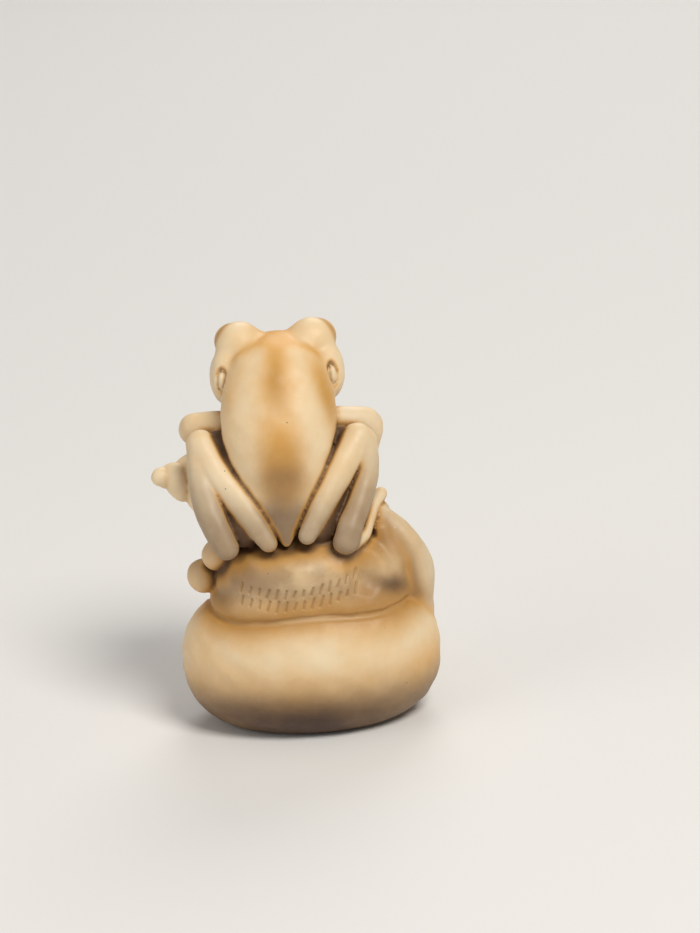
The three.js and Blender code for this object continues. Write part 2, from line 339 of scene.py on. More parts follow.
class Figurine:
    """All forms of the casting, from the sizes in the property group."""

    def __init__(self, sizes):
        for name in FigurineForm.__annotations__:
            setattr(self, name, getattr(sizes, name) / MM)
        self.part = self.frog_height / 100
        self.seat = np.array([-self.frog_aside, 0.0, self.mound_top - self.frog_sink])
        tilt_c = math.cos(HEAD_TILT)
        tilt_s = math.sin(HEAD_TILT)
        self.head_turn = np.array([[1, 0, 0], [0, tilt_c, -tilt_s], [0, tilt_s, tilt_c]])
        self.base = self.base_form()
        self.mound = self.mound_form()
        self.knobs = self.knob_forms()
        self.ridge = self.ridge_form()
        self.shell = self.shell_form()
        self.trunk = self.trunk_form()
        self.head = self.head_form()
        self.face = self.eyelids_and_cheeks()
        self.thighs, self.shins = self.legs()
        self.webs = self.filling()
        self.carving = self.nostrils_and_ears()
        self.laid_in = self.eyeballs_and_beads()
        self.ground = [self.base, self.mound, *self.knobs, self.ridge, self.shell]
        self.body = [self.trunk, self.head, *self.face]
        self.limbs = [*self.thighs, *self.shins, *self.arms(), *self.digits()]
        self.forms = [*self.ground, *self.body, *self.limbs, *self.webs]

    def frog(self, x, y, z):
        return np.array([x, y, z]) * self.part + self.seat

    def frog_rows(self, rows):
        rows = np.asarray(rows, float) * self.part
        rows[:, :3] += self.seat
        return rows

    def limb(self, name, rows, blend=FILLET, steps=4):
        return rod_form(name, self.frog_rows(rows), blend, steps)

    def frog_egg(self, name, centre, radii, blend):
        return egg_form(name, self.frog(*centre), np.array(radii) * self.part, blend)

    def base_form(self):
        half = np.array([self.base_width / 2, self.base_depth / 2])
        above = self.base_height - self.base_widest
        below = self.base_widest * 1.17
        hump = direction(0.55, -0.45, 0.5)

        def distance(points):
            x = points[:, 0] / half[0]
            y = points[:, 1] / half[1]
            z = (points[:, 2] - self.base_widest) / np.where(points[:, 2] > self.base_widest, above, below)
            power = np.where(z > 0, 2.15, 2.7)
            ring = np.sqrt(x * x + y * y)
            unit = (ring**power + np.abs(z) ** power) ** (1 / power)
            cosine = (x * hump[0] + y * hump[1] + z * hump[2]) / (np.sqrt(ring**2 + z**2) + 1e-9)
            swollen = unit / swelling(cosine, 0.035, 0.36)
            return smooth_max((swollen - 1) * above, -points[:, 2], 0.4)

        x, y = half * 1.04
        return Form("base", distance, [-x, -y, 0], [x, y, self.base_height * 1.02])

    def mound_form(self):
        middle = np.array([0.1, 0.5, self.base_height * 0.92])
        half = np.array([self.mound_width / 2, self.mound_depth / 2, self.mound_top - middle[2]])
        bulge = direction(-0.2, -0.95, 0.25)
        boss = middle + np.array([-0.6, -3.55, 1.65])
        boss_radii = np.array([2.3, 1.4, 1.25])
        hollow = middle + np.array([4.0, -4.3, 2.0])
        hollow_radii = np.array([1.5, 1.25, 1.7])
        bank = np.array([[5.75, -0.9, 8.6, 0.75], [5.75, -1.1, 10.4, 0.6], [4.9, -0.6, 12.3, 0.5]])
        under_shell = np.array([-0.28 * self.mound_width, 0.38 * self.mound_depth, self.base_height + 0.9])
        under_shell_radii = np.array([2.5, 2.4, 2.2])

        def distance(points):
            q = (points - middle) / half
            unit = (np.abs(q) ** 2.8).sum(-1) ** (1 / 2.8)
            swollen = unit / swelling((q @ bulge) / (size_of(q) + 1e-9), 0.07, 0.42)
            total = smooth_min((swollen - 1) * half.min(), ellipsoid(points, boss, boss_radii), 0.5)
            total = smooth_max(total, -ellipsoid(points, hollow, hollow_radii), 0.5)
            total = total - 0.3 * fade(points[:, 2], self.base_height - 0.2, self.base_height - 1.5)
            total = smooth_min(total, tapered_rod(points, bank), 0.5)
            return smooth_min(total, ellipsoid(points, under_shell, under_shell_radii), 0.8)

        return Form("mound", distance, middle - half * 1.25, middle + half * 1.25, 0.07)

    def knob_forms(self):
        side = 0.1 - self.mound_width / 2
        radius = np.full(3, self.knob_diameter / 2)
        upper = [side + 0.3, -1.0, self.mound_top - 1.2]
        lower = [side - 0.7, 0.25, self.base_height + 0.05]
        return [egg_form("upper knob", upper, radius * 0.96), egg_form("lower knob", lower, radius * 1.06)]

    def ridge_form(self):
        side = 0.1 + self.mound_width / 2
        half_thick = self.ridge_thickness / 2
        rows = [
            [-2.1, 3.3, -0.6, 0.45],
            [-1.2, 1.9, 0.3, 0.5],
            [-0.95, 0.5, 0.2, 0.62],
            [-0.1, 0.0, -0.6, 0.77],
            [0.6, -0.2, -1.8, 0.92],
            [1.05, -0.2, -3.1, 1.0],
            [1.05, -0.1, -4.4, 0.95],
            [1.1, 0.0, -5.6, 0.77],
        ]
        placed = [[side + x, y, self.mound_top + z, thick * half_thick] for x, y, z, thick in rows]
        self.ridge_line = smooth_rows(placed, 4)
        return rod_form("ridge", placed, 0.55)

    def shell_turns(self, points):
        """Distance along the shell's axis, distance from the axis and the count of turns from the apex."""
        q = points - self.shell_apex
        along = q @ self.shell_axis
        around = np.arctan2(q @ self.shell_up, q @ self.shell_across) / (2 * math.pi)
        ring = np.hypot(q @ self.shell_across, q @ self.shell_up)
        turns = np.log(np.maximum(along + 0.11, 1e-3) / 0.9) / math.log(2.35) + around
        return along, ring, turns

    def shell_form(self):
        self.shell_axis = direction(0.93, 0.28, -0.24)
        self.shell_apex = np.array([-3.5 - self.mound_width / 2, 2.5, self.mound_top + 3.15])
        self.shell_across = np.cross(self.shell_axis, [0, 0, 1])
        self.shell_across /= size_of(self.shell_across)
        self.shell_up = np.cross(self.shell_across, self.shell_axis)
        slope = 0.6
        shoulder = self.shell_radius / slope
        bud_radii = np.array([0.62, 0.6, 0.62])
        bud = self.shell_apex + self.shell_axis * 0.55

        def distance(points):
            along, ring, turns = self.shell_turns(points)
            lobe = 0.79 + 0.25 * np.abs(np.sin(math.pi * turns)) ** 0.6
            lobe = lobe + (0.98 - lobe) * 0.5 * fade(along, 2.6, 4.6)
            spire = slope * (along + 0.45) * np.sqrt(np.clip(along / 0.5, 0, 1))
            past = (along - shoulder) / (self.shell_length - shoulder)
            dome = self.shell_radius * np.sqrt(np.clip(1 - past**2, 0, 1))
            plain = np.where(along < shoulder, np.clip(spire, 0, self.shell_radius), dome)
            whorls = np.maximum(np.maximum((ring - plain * lobe) * 0.75, -along), along - self.shell_length)
            return smooth_min(whorls, ellipsoid(points, bud, bud_radii), 0.05)

        end = self.shell_apex + self.shell_axis * self.shell_length
        low = np.minimum(self.shell_apex, end) - self.shell_radius
        high = np.maximum(self.shell_apex, end) + self.shell_radius
        return Form("shell", distance, low, high, 0.1)

    def trunk_form(self):
        rows = [
            [2, 0, 2.4], [12.5, -0.3, 8.2], [30, -1, 17.2], [47, -1, 24.8], [62, -0.6, 28.9], [74, 0, 28.4],
        ]
        spine = [[*(TAIL + UP_THE_BACK * rise + [aside, 0, 0]), radius] for rise, aside, radius in rows]
        fine = smooth_rows(self.frog_rows(spine), 5)
        start = self.frog(*TAIL)
        stretch = np.eye(3) + (1 / TRUNK_FLATNESS - 1) * np.outer(OUT_OF_THE_BACK, OUT_OF_THE_BACK)
        fine[:, :3] = (fine[:, :3] - start) @ stretch.T

        def distance(points):
            return tapered_rod((points - start) @ stretch.T, fine) * TRUNK_FLATNESS

        return Form("trunk", distance, self.frog(-29, -27, -3), self.frog(29, 50, 102.9))

    def head_half(self, forward, above):
        """Half width and half height of the head, smaller towards the nose."""
        width = 26.5 * (1 - 0.2 * forward)
        height = np.where(above, 21 * (1 - 0.4 * forward), 17 * (1 - 0.15 * forward))
        return width, height

    def head_surface(self, toward):
        """The point of the head for a direction from its middle."""
        width, height = self.head_half(max(toward[1], 0.0) ** 2, toward[2] > 0)
        corner = toward * np.array([width, HEAD_DEPTH, height])
        return self.head_turn @ corner * self.part + self.frog(*HEAD_MIDDLE)

    def head_place(self, points):
        """Points in the head's own directions, from its middle."""
        return (points - self.frog(*HEAD_MIDDLE)) @ self.head_turn / self.part

    def head_form(self):
        def distance(points):
            q = self.head_place(points)
            y = q[:, 1] / HEAD_DEPTH
            width, height = self.head_half(np.clip(y, 0, 1) ** 2, q[:, 2] > 0)
            x = q[:, 0] / width
            z = q[:, 2] / height
            return (np.sqrt(x * x + y * y + z * z) - 1) * 16 * self.part

        middle = self.frog(*HEAD_MIDDLE)
        reach = 29 * self.part
        return Form("head", distance, middle - reach, middle + reach, 0.9)

    def eyelids_and_cheeks(self):
        forms = []
        for side in SIDES:
            forms.append(self.frog_egg("cheek", [side * 26, 30, 73.5], [8.2, 15, 14], 0.45))
            forms.append(self.frog_egg("eyelid", [side * 18, 35, 89], [12, 11.5, 11], 0.45))
        return forms

    def nostrils_and_ears(self):
        """The hollows that are carved out."""
        forms = []
        for side in SIDES:
            nostril = self.head_surface(direction(side * 0.24, 0.86, 0.46))
            forms.append(egg_form("nostril", nostril, np.full(3, 1.4) * self.part, 0.1))
            forms.append(self.frog_egg("ear hollow", [side * 28.4, 15.2, 76.8], [3.1, 4.6, 8.2], 0.1))
        return forms

    def eyeballs_and_beads(self):
        """The eyeballs and ear beads, laid in after the carving."""
        forms = []
        for side in SIDES:
            forms.append(self.frog_egg("eyeball", [side * 21.5, 38.5, 89.5], [9.4, 9.4, 9.2], 0.1))
            forms.append(self.frog_egg("bead", [side * 27.7, 17.4, 75.0], [1.8, 2.4, 4.6], 0.03))
        return forms

    def legs(self):
        thighs = {
            "left thigh": [
                [-40.4, 6, 46.5, 7.2], [-33.5, -3, 34, 8], [-24.5, -11, 23, 8.1], [-17, -18, 14, 6.9],
                [-9, -24, 2, 4.5],
            ],
            "right thigh": [
                [38, 6, 44.5, 8], [30.5, -2, 35, 8], [24, -9, 25.5, 7.4], [18, -16, 16.5, 6.4],
                [10.5, -24, 5, 4.6],
            ],
        }
        shins = {
            "left shin": [
                [-40.5, 6, 45, 6.9], [-40.3, -4, 31, 7.2], [-37.6, -14, 18.5, 7.4], [-34.4, -20, 10, 6.9],
                [-30.2, -24, 1, 6.3],
            ],
            "right shin": [
                [41, 7, 42, 7.3], [41.5, 0, 27, 6.4], [37, -10, 15.5, 6.3], [32.5, -19, 7.5, 6.5],
                [29.4, -23, 0, 6.5],
            ],
        }
        return [[self.limb(name, rows) for name, rows in pair.items()] for pair in (thighs, shins)]

    def arms(self):
        left = [
            [-22, 21, 50, 7.4], [-37.8, 25, 50, 7], [-44.6, 28, 48.2, 7], [-43.5, 34, 42, 6],
            [-37, 39, 36, 4.6],
        ]
        right = [
            [22, 21, 50, 7.4], [36.2, 25, 48, 7], [44.3, 28, 44.3, 7.5], [42, 27, 30, 5.8],
            [39, 22, 12, 5], [38, 20, 0, 4.8],
        ]
        return [self.limb("left arm", left, 0.2), self.limb("right arm", right, 0.2)]

    def digit(self, name, start, tip, radius):
        """One finger or toe, which ends in a round pad."""
        start = np.asarray(start, float)
        tip = np.asarray(tip, float)
        knuckle = (start + tip) / 2 + [0, 0, radius / 2]
        neck = start + (tip - start) * 0.8
        thin = radius * 0.85
        rows = [[*start, radius * 1.2], [*knuckle, thin], [*neck, thin], [*tip, radius * 1.25]]
        return self.limb(name, rows, 0.06, 3)

    def digits(self):
        ends = [
            ("left finger", [-37, 39, 35], 2.2, [
                [-42, 44, 29], [-35.5, 46, 32], [-29, 46.5, 34], [-24, 41.5, 37],
            ]),
            ("right finger", [38, 20, -1], 2.4, [[45, 20, -4], [43, 27, -5], [37.5, 29, -4], [32, 27, -1]]),
            ("left toe", [-30, -20, -1], 2.6, [[-37, -8, -6], [-31, 2, -3], [-24, 5, 0]]),
            ("right toe", [31, -20, -1], 2.6, [[35, 2, -1], [28, 6, 0]]),
        ]
        forms = [self.digit(name, start, tip, radius) for name, start, radius, tips in ends for tip in tips]
        long_toe = [
            [32.4, -20, -2, 4.5], [38.6, -12, -0.8, 3.2], [42.2, -3, 5, 2.8], [45.6, 6, 9.7, 2.8],
            [48.4, 12, 12.6, 3.4],
        ]
        return [*forms, self.limb("long toe", long_toe, 0.1)]

    def filling(self):
        """Solid casting between the limbs, set back from them: left, right and under the belly."""
        rows = [
            [[-32, 11, 43, 8], [-26, -3, 24, 10.5], [-21, -13, 7, 9.5]],
            [[31, 11, 41, 8], [24, -2, 23, 9.5], [17, -13, 6, 9]],
            [[0, 20, 40, 22], [-4, 4, 18, 16], [-2, 2, 2, 14]],
        ]
        return [self.limb("web", points, 0.15, 3) for points in rows]

    def mouth(self, points):
        """How deep the mouth's line is at each point, from 0 to 1."""
        q = self.head_place(points)
        smile = -4.9 + 0.0035 * q[:, 0] ** 2
        return bell(q[:, 2] - smile, 1.25) * fade(q[:, 1], -7, -2) * fade(size_of(q[:, :2]), 12, 16)

    def lid_line(self, points):
        """Distance to the line where the eyelids meet the eyeballs."""
        lids = nearest(named(self.face, "eyelid"), points)
        return np.hypot(lids, nearest(named(self.laid_in, "eyeball"), points))

    def lumps(self, points):
        """Slight unevenness, as of a form carved by hand."""
        x, y, z = points.T
        slow = np.sin(1.9 * x + 0.7 * z + 0.4) * np.sin(1.6 * y - 0.9 * z + 1.1)
        slow = slow * np.sin(1.7 * z + 0.5 * x + 2.0)
        quick = np.sin(3.9 * x + 1.3 * y + 0.2) * np.sin(4.3 * z - 1.1 * x + 0.9)
        return SLOW_LUMPS * slow + QUICK_LUMPS * quick

    def crease(self, points):
        """Distance to the line where the mound meets the base, for points near it."""
        return np.hypot(self.base.at(points), self.mound.at(points))

    def distance(self, points):
        total = self.base.at(points)
        for form in self.forms[1:]:
            total = smooth_min(total, form.at(points), form.blend)
        total = total + self.lumps(points) * fade(points[:, 2], 0.0, 1.0)
        radius = CREASE_RADIUS - CREASE_END * fade(self.ridge.at(points), 0.6, 0.1)
        total = smooth_max(total, radius - self.crease(points), CREASE_FILLET)
        for form in self.carving:
            total = smooth_max(total, -form.at(points), form.blend)
        for form in self.laid_in:
            total = smooth_min(total, form.at(points), form.blend)
        total = total + MOUTH_DEPTH * self.mouth(points)
        return smooth_max(total, -points[:, 2], 0.1)


# Turning the distances into a mesh

def sampled(distance, low, cell, shape):
    """Distances on a grid, worked out only in the blocks that the surface may cross."""
    block = 8
    blocks_at_once = 200
    count = [math.ceil(n / block) for n in shape]
    middles = [np.arange(n) * block + block / 2 - 0.5 for n in count]
    centres = np.stack(np.meshgrid(*middles, indexing="ij"), -1).reshape(-1, 3)
    rough = distance(low + centres * cell).reshape(count)
    reach = 1.25 * cell * block * math.sqrt(3) / 2
    values = np.sign(rough)
    for axis in range(3):
        values = np.repeat(values, block, axis)
    inner = np.stack(np.meshgrid(*[np.arange(block)] * 3, indexing="ij"), -1).reshape(-1, 3)
    blocks = np.argwhere(np.abs(rough) < reach)
    for start in range(0, len(blocks), blocks_at_once):
        chosen = blocks[start : start + blocks_at_once]
        index = (chosen[:, None, :] * block + inner[None]).reshape(-1, 3)
        values[tuple(index.T)] = distance(low + index * cell)
    return values


def surface_net(values, low, cell):
    """One point in every cell that the surface crosses, and a quad around every grid edge that it crosses."""
    inside = values < 0
    corners = [np.array([i, j, k]) for i in (0, 1) for j in (0, 1) for k in (0, 1)]
    size = np.array(values.shape) - 1
    hits = 0
    for i, j, k in corners:
        hits = hits + inside[i : i + size[0], j : j + size[1], k : k + size[2]].astype(int)
    crossed = (hits > 0) & (hits < 8)
    cells = np.argwhere(crossed)
    number = np.full(crossed.shape, -1)
    number[crossed] = np.arange(len(cells))
    total = np.zeros((len(cells), 3))
    cuts = np.zeros(len(cells))
    for corner in corners:
        for axis in range(3):
            if corner[axis]:
                continue
            other = corner + np.eye(3, dtype=int)[axis]
            first = values[tuple((cells + corner).T)]
            second = values[tuple((cells + other).T)]
            cut = (first < 0) != (second < 0)
            point = corner + np.eye(3)[axis] * (first / np.where(cut, first - second, 1))[:, None]
            total[cut] += point[cut]
            cuts += cut
    points = low + (cells + total / cuts[:, None]) * cell
    quads = []
    for axis in range(3):
        u = np.eye(3, dtype=int)[(axis + 1) % 3]
        v = np.eye(3, dtype=int)[(axis + 2) % 3]
        first = np.take(inside, range(inside.shape[axis] - 1), axis)
        second = np.take(inside, range(1, inside.shape[axis]), axis)
        edges = np.argwhere(first != second)
        outward = first[tuple(edges.T)]
        quad = np.stack([number[tuple((edges + step).T)] for step in (-u - v, -v, np.zeros(3, int), -u)], 1)
        quads.append(np.where(outward[:, None], quad, quad[:, ::-1]))
    return points, np.concatenate(quads)


def slopes(distance, points, step=0.03):
    """Gradient of the distance at each point."""
    columns = []
    for axis in np.eye(3):
        columns.append(distance(points + step * axis) - distance(points - step * axis))
    return np.stack(columns, -1) / (2 * step)


def settled(distance, points, rounds=2):
    """Points moved onto the surface, with their outward normals."""
    for _ in range(rounds):
        gradient = slopes(distance, points)
        height = distance(points)
        move = height / np.maximum((gradient**2).sum(-1), 0.2)
        points = points - gradient * np.clip(move, -0.12, 0.12)[:, None]
    gradient = slopes(distance, points)
    return points, gradient / (size_of(gradient)[:, None] + 1e-9)


def refined(points, quads, wanted, cuts):
    """Divides the faces whose middle is wanted into smaller ones."""
    mesh = bpy.data.meshes.new("draft")
    mesh.from_pydata(points.tolist(), [], quads.tolist())
    work = bmesh.new()
    work.from_mesh(mesh)
    faces = [face for face in work.faces if wanted(face.calc_center_median())]
    edges = list({edge for face in faces for edge in face.edges})
    bmesh.ops.subdivide_edges(work, edges=edges, cuts=cuts, use_grid_fill=True)
    work.to_mesh(mesh)
    work.free()
    return mesh


# Where stain has gathered and paint was laid

def on_skin(distance):
    """1 on a form's surface, fading to 0 a little way off it."""
    return fade(distance, 0.3, 0.05)


def hollows(model, points, normals, reaches):
    """How closed in each point is: 0 on an open surface and towards 1 deep in a groove."""
    closed = [np.clip(1 - model.distance(points + normals * reach) / reach, 0, 1) for reach in reaches]
    return np.mean(closed, 0)


def second_nearest(model, points):
    """Distance to the second nearest form, with the trunk and the head as one form."""
    body = nearest(model.body, points)
    singles = [form.at(points) for form in [*model.ground, *model.limbs]]
    ordered = np.sort(np.stack([body, *singles]), 0)
    return np.clip(ordered[1], 0, 2)


def oval(across, along, width, height):
    """A soft oval patch, from the distances to its middle."""
    return np.exp(-((across / width) ** 2) - (along / height) ** 2)


def patches(name, x, z):
    """The sum of the soft patches with this name."""
    total = 0
    for strength, middle_x, middle_z, width, height in PATCHES[name]:
        total = total + strength * oval(x - middle_x, z - middle_z, width, height)
    return total


def back_paint(model, points, normals):
    """The soft stripe, the patches and the marks on the frog's back, and its darker lower end, as orange,
    brown and grey-brown.
    """
    q = (points - model.seat) / model.part
    up = (q - TAIL) @ UP_THE_BACK
    x = q[:, 0]
    trunk = model.trunk.at(points)
    head = nearest([model.head, *model.face], points)
    body = fade(np.minimum(trunk, head), 0.5, 0.3) * fade(normals @ OUT_OF_THE_BACK, -0.1, 0.25)

    width = np.interp(up, STRIPE_RISE, STRIPE_WIDTH)
    stripe = np.interp(up, STRIPE_RISE, STRIPE_DEPTH) * bell(np.abs(x), width, 2.6) * body
    right_flank = oval(x - 24.5 + 0.22 * (up - 74), up - 73, 5, 17)
    left_flank = 0.4 * oval(x + 25, up - 72, 4, 12)
    valley = bell(np.maximum(np.maximum(trunk, head) - 0.1, 0), 0.25)
    marks = valley * fade(up, 84, 96) * fade(np.abs(x), 27, 19)
    crown = 0.9 * bell(x, 10) * fade(up, 98, 105)
    wash = 0.28 * oval(np.abs(x) - 19, up - 88, 8, 12)
    orange = np.clip(stripe + (right_flank + left_flank + marks + crown + wash) * body, 0, 1)

    low = fade(up, 60, 34) * stripe
    spine = 0.7 * oval(x, up - 80, width * 0.5, 14) * body
    brown = np.clip(low + spine + 0.5 * right_flank * body, 0, 1)
    # Grey-brown, darker towards the lower end of the back.
    smoke_and_shade = (fade(up, 26, 13) + 0.45 * fade(np.abs(up - 28), 12, 4) * stripe) * body
    return orange, brown, smoke_and_shade


def mound_paint(model, points):
    """Painted shade in the mound's hollows and under the frog, and brown wash along its foot, as orange and
    brown.
    """
    x = points[:, 0]
    z = points[:, 2]
    behind = fade(points[:, 1], 0.5, -1.5)
    mound = model.mound.at(points)
    # Painted shade: darker brown on the mound's top under the frog and in soft patches in its hollows.
    shade_under_frog = 0.85 * fade(z, 11.3, 12.2)
    brown = np.clip(0.15 + patches("mound brown shade", x, z) + shade_under_frog, 0, 1) * on_skin(mound) * behind
    orange = patches("mound orange", x, z) * on_skin(mound) * behind
    foot = model.crease(points)
    edge = bell(foot, 0.75) * (0.65 + 0.35 * fade(model.base.at(points), -0.3, 0.05))
    bank = bell(np.hypot(mound, model.ridge.at(points)), 0.6) * behind
    line = bell(foot, 0.7) + 0.4 * bell(foot, 0.35)
    return np.clip(orange + edge + 0.6 * bank, 0, 1), np.clip(0.8 * brown + 0.75 * line + 1.1 * bank, 0, 1)


def base_paint(model, points, back):
    """The base darker towards its bottom, partly stain and partly painted shade, and painted warm reflections
    on its sides, as orange, brown and umber.
    """
    x = points[:, 0]
    z = points[:, 2]
    middle = bell(x + 1.2, 5.4)
    on_base = on_skin(model.base.at(points))
    # Orange towards the base's bottom, partly stain and partly painted shade, and painted warm reflections on
    # its left and right sides.
    orange = (0.45 * fade(z, 6.2, 3.6) + patches("base side reflections", x, z) * back) * on_base
    # Brown and umber towards the base's bottom: partly stain, partly painted shade.
    brown = fade(z, 5.3, 2.2) * (0.55 + 0.45 * middle) * on_base
    umber = fade(z, 4.0, 1.5) * (0.55 + 0.45 * middle * back)
    return orange, brown, umber


def grey_shade_and_stain(model, points, normals, back, shell):
    """Grey-brown darkening: painted shade on the limbs, most low on the legs, inside the ridge, on surfaces
    facing down and on the mound; low on the base partly stain and partly painted shade.
    """
    x = points[:, 0]
    z = points[:, 2]
    # Low on the base: partly stain, partly painted shade.
    base = 0.3 * fade(z, 5.0, 2.0)
    # Painted shade on the ridge, most on its inner side.
    line = model.ridge_line
    level = np.argmin((points[:, None, 2] - line[None, :, 2]) ** 2, 1)
    inner = fade(line[level, 0] - x, -0.1, 0.6)
    ridge = (0.35 + 0.65 * inner) * fade(model.ridge.at(points), 0.3, 0.1)
    # Painted shade on the limbs, darkest low on the legs.
    thighs = 0.8 * fade(z, 17.5, 13.0) * fade(nearest(model.thighs, points), 0.2, 0.05)
    shins = fade(z, 20.0, 13.0) * fade(nearest(model.shins, points), 0.2, 0.05)
    limbs = 0.12 * fade(nearest(model.limbs, points), 0.2, 0.05)
    # Painted shade on surfaces that face down, except on the shell.
    under = 0.3 * fade(-normals[:, 2], 0.0, 0.8) * fade(z, 9.0, 10.0) * (1 - shell)
    # A grey-brown tone over the back of the mound, with painted shade on its left, less along its foot.
    off_foot = 1 - 0.7 * bell(model.crease(points), 0.8)
    mound = (0.3 + patches("mound grey shade", x, z)) * off_foot * on_skin(model.mound.at(points)) * back
    return np.max([base, ridge, thighs, shins, limbs, under, mound], 0)


def shell_seams(model, points, shell):
    """The lines of paint between the shell's whorls."""
    along, _, turns = model.shell_turns(points)
    seam = np.abs(np.sin(math.pi * turns)) * (np.maximum(along, 0) + 0.11) * 0.27
    return 0.8 * bell(seam, 0.13) * shell * fade(along, 0.45, 0.8)


def recess_stain(model, points, normals, knobs):
    """Stain that ran into grooves, gaps and corners, and darkening on the mound around where the frog sits,
    partly stain and partly painted shade; most of it rubbed off again along the mound's foot.
    """
    x = points[:, 0]
    y = points[:, 1]
    z = points[:, 2]
    close = hollows(model, points, normals, (0.15, 0.3, 0.5))
    wide = hollows(model, points, normals, (0.5, 0.9, 1.3))
    groove = bell(second_nearest(model, points), 0.42, 1.5) * fade(close, 0.05, 0.4)
    gap = 0.95 * fade(nearest(model.webs[:2], points), 0.25, 0.02) * fade(y, 2.6, 1.4)
    stain = np.maximum(np.maximum(groove, gap), 0.85 * fade(wide, 0.4, 1.0))
    mound = model.mound.at(points)
    seated = nearest([model.trunk, *model.thighs, *model.shins, *model.knobs], points)
    # Darker on the mound around the frog's seat and the knobs: partly stain, partly painted shade under them.
    pooled_stain_and_shade = bell(np.maximum(seated, 0), 1.0, 1.3) * on_skin(mound) * fade(z, 8.8, 9.8)
    stain = np.maximum(stain, 0.97 * pooled_stain_and_shade) * (1 - 0.35 * fade(y, 1.5, 3.0))
    stain = np.maximum(stain, 0.85 * knobs * bell(np.maximum(mound, 0), 0.45))
    corners = np.clip(patches("foot corners", x, z), 0, 1)
    return stain * (1 - 0.85 * bell(model.crease(points), 0.8) * (1 - corners))


def face_stain(model, points, stain, beads):
    """The stain with the lines of the eyelids and the mouth, the nostrils and the ears added, and a painted
    shadow at the top of each ear hollow.
    """
    stain = np.where(nearest(model.carving, points) < 0.12, np.minimum(stain, 0.68), stain)
    lids = bell(model.lid_line(points), 0.22)
    head = nearest(named(model.body, "head", "cheek"), points)
    stain = np.maximum(stain, 0.62 * np.maximum(lids, model.mouth(points) * fade(np.abs(head), 0.4, 0.2)))
    ears = nearest(named(model.carving, "ear hollow"), points)
    # Painted shadow, darker towards the top of each ear hollow, under its rim.
    ear_top_shadow = fade(points[:, 2], model.frog(0, 0, 71)[2], model.frog(0, 0, 80)[2])
    stain = np.maximum(stain, (0.6 + 0.35 * ear_top_shadow) * fade(ears, 0.12, 0.02))
    return stain * (1 - 0.9 * beads)


def painted(model, points, normals):
    """Masks from 0 to 1 for each painted or stained area and for the painted shade and light, one value for
    each point.
    """
    x = points[:, 0]
    z = points[:, 2]
    back = fade(points[:, 1], 1.0, -2.5)
    knobs = fade(nearest(model.knobs, points), 0.2, 0.02)
    shell = fade(model.shell.at(points), 0.2, 0.05)
    beads = fade(nearest(named(model.laid_in, "bead"), points), 0.06, 0.01)
    orange, brown, tail_smoke = back_paint(model, points, normals)
    # The mound's brown holds the wash along its foot and painted shade in its hollows and under the frog.
    mound_orange, mound_brown_and_shade = mound_paint(model, points)
    base_orange, base_brown, base_umber = base_paint(model, points, back)
    seams = shell_seams(model, points, shell)
    shadows = patches("right shadow", x, z + 0.45 * (x - 5.6)) + patches("left shadows", x, z)
    shadows = shadows * on_skin(nearest([model.base, model.mound], points)) * back
    stain = recess_stain(model, points, normals, knobs)
    # A painted highlight along the crease at the mound's foot.
    crease_highlight = bell(model.crease(points), 0.1) * patches("crease highlight", x, z) * back
    return {
        "orange": np.max([orange, mound_orange, seams, base_orange, 0.35 * knobs], 0),
        # Brown: paint and stain, with painted shade in the mound's hollows and under the frog.
        "brown": np.max([brown, mound_brown_and_shade, base_brown, 0.3 * knobs, shadows], 0),
        # Grey-brown: painted shade on the limbs, the ridge, underneath and on the mound, and the darker lower
        # ends of the back and the base.
        "smoke_and_shade": np.maximum(tail_smoke, grey_shade_and_stain(model, points, normals, back, shell)),
        # Umber: the base's bottom, partly stain and partly painted shade, painted shade in the mound's
        # darkest patches, and the lower end of the back.
        "umber": np.max([base_umber, 0.85 * shadows**2, 0.3 * tail_smoke], 0),
        "wash": face_stain(model, points, stain, beads),
        "mound": on_skin(model.mound.at(points)) * back,
        # Pale: the ivory beads, a painted highlight along the mound's foot and painted light that makes the
        # shell paler.
        "pale": np.max([crease_highlight, beads, 0.7 * shell], 0),
    }


def evened(mesh, values, rounds=4):
    """Averages each point's value with its neighbours', so that a mask's edge has no steps."""
    ends = np.empty(len(mesh.edges) * 2, int)
    mesh.edges.foreach_get("vertices", ends)
    a, b = ends.reshape(-1, 2).T
    neighbours = np.bincount(ends, minlength=len(values))
    for _ in range(rounds):
        total = np.bincount(a, values[b], len(values)) + np.bincount(b, values[a], len(values))
        values = 0.5 * values + 0.5 * total / np.maximum(neighbours, 1)
    return values


# Materials

def group(name, inputs, outputs):
    """A shader node group, with the sockets that its input gives and its output takes."""
    tree = bpy.data.node_groups.new(name, "ShaderNodeTree")
    for label, kind, value in inputs:
        socket = tree.interface.new_socket(label, in_out="INPUT", socket_type=kind)
        socket.default_value = value
    for label, kind in outputs:
        tree.interface.new_socket(label, in_out="OUTPUT", socket_type=kind)
    return tree, tree.nodes.new("NodeGroupInput").outputs, tree.nodes.new("NodeGroupOutput").inputs


